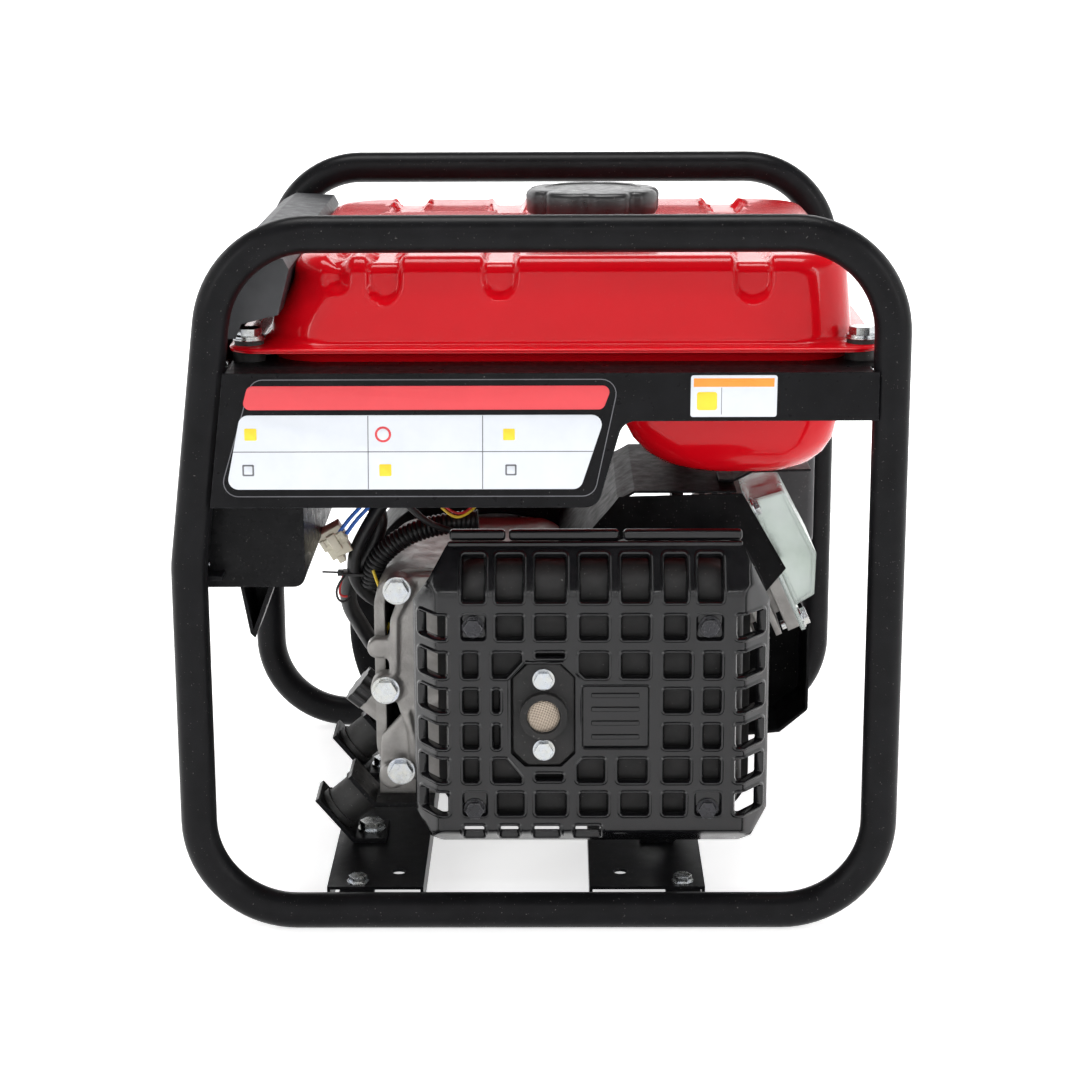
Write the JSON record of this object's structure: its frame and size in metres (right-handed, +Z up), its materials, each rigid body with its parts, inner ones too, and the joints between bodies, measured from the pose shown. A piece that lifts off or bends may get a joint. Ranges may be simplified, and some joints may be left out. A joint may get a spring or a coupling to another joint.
{
  "type": "open-frame inverter generator",
  "caption": "Portable petrol inverter generator in a black tube frame, with a red tank, a windowed muffler guard, a recoil starter and a socket panel at one end.",
  "frame": {"origin": "on the ground, under the middle of the tube frame", "axes": "+X towards the cylinder head, -X the control panel, -Y the muffler side, +Y the recoil starter, +Z up"},
  "size_m": [0.445, 0.427, 0.447],
  "materials": {
    "frame_paint": "semi-gloss black powder coat",
    "bracket_paint": "black powder coat",
    "guard_paint": "gloss black enamel",
    "muffler_paint": "matt high-temperature black",
    "shroud_paint": "satin black",
    "tank_red": "gloss red enamel",
    "cap_plastic": "moulded black",
    "hood_plastic": "textured dark grey",
    "box_gloss": "gloss black",
    "panel_plastic": "fine grain black",
    "socket_plastic": "moulded black",
    "lamp": "green lens",
    "switch_red": "red",
    "cast_alloy": "sand-cast",
    "zinc_plate": "zinc-plated pressing",
    "zinc_bolt": "bright zinc",
    "bright_steel": "polished",
    "steel": "machined",
    "cleaner_plastic": "dark grey moulding",
    "foam": "filter foam",
    "rubber": "black rubber",
    "cord": "braided starter rope",
    "loom_plastic": "corrugated sleeve"
  },
  "bodies": {
    "root": {"air_cleaner_base": "cleaner_plastic", "air_filter_element": "foam", "air_shroud": "shroud_paint", "base_channels": "frame_paint", "box_bracket": "bracket_paint", "carburetor": "cast_alloy", "connecting_rod": "cast_alloy", "control_panel": "panel_plastic", "crankcase": "cast_alloy", "crankcase_cover": "cast_alloy", "crankshaft": "steel", "cylinder_barrel": "cast_alloy", "cylinder_head": "cast_alloy", "fan_housing": "shroud_paint", "fasteners": "zinc_bolt", "frame_loop_front": "frame_paint", "frame_loop_rear": "frame_paint", "fuel_hose": "rubber", "fuel_strainer": "socket_plastic", "fuel_tank_lower": "tank_red", "fuel_tank_upper": "tank_red", "fuel_valve_body": "cast_alloy", "heat_shield": "bright_steel", "indicator_lights": "lamp", "inverter_module": "cast_alloy", "lower_shroud": "shroud_paint", "main_bearings": "steel", "mount_brackets": "bracket_paint", "muffler_body": "muffler_paint", "muffler_guard": "guard_paint", "panel_box": "box_gloss", "panel_hood": "hood_plastic", "piston": "cast_alloy", "pull_rope": "cord", "recoil_cover": "shroud_paint", "rocker_cover": "zinc_plate", "side_plate_front": "frame_paint", "side_plate_rear": "frame_paint", "sockets": "socket_plastic", "spark_arrester": "muffler_paint", "spark_plug": "steel", "stator": "steel", "tank_bushes": "rubber", "vibration_mounts": "rubber", "wiring_loom": "loom_plastic"},
    "cap_lift": {"cap_seal": "rubber"},
    "fuel_cap": {"fuel_cap": "cap_plastic"},
    "rotor": {"rotor": "steel", "cooling_fan": "cleaner_plastic", "starter_cup": "steel"},
    "recoil_pulley": {"recoil_pulley": "cleaner_plastic"},
    "pull_handle": {"pull_handle": "cap_plastic"},
    "choke_lever": {"choke_lever": "cap_plastic"},
    "fuel_valve_lever": {"fuel_valve_lever": "switch_red"},
    "engine_switch": {"engine_switch": "switch_red"},
    "eco_switch": {"eco_switch": "socket_plastic"},
    "reset_button": {"reset_button": "switch_red"},
    "breaker_button": {"breaker_button": "socket_plastic"},
    "air_cleaner_cover": {"air_cleaner_cover": "cleaner_plastic"},
    "oil_dipstick": {"oil_dipstick": "cap_plastic"}
  },
  "joints": [
    {"name": "fuel_cap_lift", "type": "slide", "parent": "root", "child": "cap_lift", "axis": [0, 0, 1], "range_m": [0, 0.06]},
    {"name": "fuel_cap_turn", "type": "hinge", "parent": "cap_lift", "child": "fuel_cap", "pos_m": [0.036, 0, 0.43], "axis": [0, 0, 1], "range_deg": [0, 90]},
    {"name": "rotor_spin", "type": "hinge", "parent": "root", "child": "rotor", "pos_m": [-0.031, 0.08, 0.121], "axis": [0, 1, 0], "continuous": true},
    {"name": "starter_pull", "type": "slide", "parent": "root", "child": "pull_handle", "axis": [0, 1, 0], "range_m": [0, 0.6], "stiffness_N_per_m": 15},
    {"name": "recoil_pulley_turn", "type": "hinge", "parent": "root", "child": "recoil_pulley", "pos_m": [-0.031, 0.1643, 0.121], "axis": [0, -1, 0], "continuous": true},
    {"name": "choke_turn", "type": "hinge", "parent": "root", "child": "choke_lever", "pos_m": [0.12065, 0.058, 0.212], "axis": [0, 0, 1], "range_deg": [-60, 0]},
    {"name": "fuel_valve_turn", "type": "hinge", "parent": "root", "child": "fuel_valve_lever", "pos_m": [0.1, 0.108, 0.2559], "axis": [0, 1, 0], "range_deg": [0, 90]},
    {"name": "engine_switch_rock", "type": "hinge", "parent": "root", "child": "engine_switch", "pos_m": [-0.19856, 0.145, 0.31497], "axis": [0, -1, 0], "range_deg": [-7, 7]},
    {"name": "eco_switch_rock", "type": "hinge", "parent": "root", "child": "eco_switch", "pos_m": [-0.20514, 0.145, 0.26137], "axis": [0, -1, 0], "range_deg": [-7, 7]},
    {"name": "reset_press", "type": "slide", "parent": "root", "child": "reset_button", "axis": [0.9925, 0, -0.1219], "range_m": [0, 0.004], "stiffness_N_per_m": 500},
    {"name": "breaker_press", "type": "slide", "parent": "root", "child": "breaker_button", "axis": [0.9925, 0, -0.1219], "range_m": [0, 0.004], "stiffness_N_per_m": 500},
    {"name": "air_cleaner_cover_off", "type": "slide", "parent": "root", "child": "air_cleaner_cover", "axis": [1, 0, 0], "range_m": [0, 0.08]},
    {"name": "dipstick_out", "type": "slide", "parent": "root", "child": "oil_dipstick", "axis": [-0.769, 0, 0.6392], "range_m": [0, 0.06]}
  ],
  "couplings": [
    {"joint": "recoil_pulley_turn", "follows": "starter_pull", "rad_per_m": 31.25}
  ]
}
